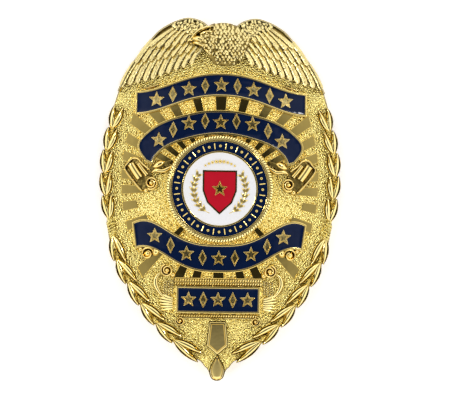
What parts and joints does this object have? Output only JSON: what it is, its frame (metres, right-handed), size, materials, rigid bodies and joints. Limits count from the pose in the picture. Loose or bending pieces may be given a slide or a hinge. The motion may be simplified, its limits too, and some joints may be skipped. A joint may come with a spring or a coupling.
{
  "type": "police shield badge",
  "caption": "Domed, gold-plated shield badge with eagle, laurel wreath, rays, enamelled ribbons, round seal and pin back.",
  "frame": {"origin": "on the plane that the badge's rim rests on, under the middle of its box", "axes": "+Z out of the badge's face, +Y towards the eagle, +X to the viewer's right with the badge upright"},
  "size_m": [0.0546, 0.0826, 0.0082],
  "materials": {
    "plated_gold": "gold plate, polished on the relief and stippled on the ground",
    "navy_enamel": "glossy poured enamel",
    "white_enamel": "glossy poured enamel",
    "red_enamel": "glossy poured enamel",
    "pin_steel": "nickel-plated steel"
  },
  "bodies": {
    "root": {"shield_body": "plated_gold", "upper_enamel": "navy_enamel", "middle_enamel": "navy_enamel", "lower_enamel": "navy_enamel", "panel_enamel": "navy_enamel", "seal_disc": "plated_gold", "seal_ring_enamel": "navy_enamel", "seal_field_enamel": "white_enamel", "seal_red_enamel": "red_enamel", "back_pin": "pin_steel"}
  },
  "joints": []
}
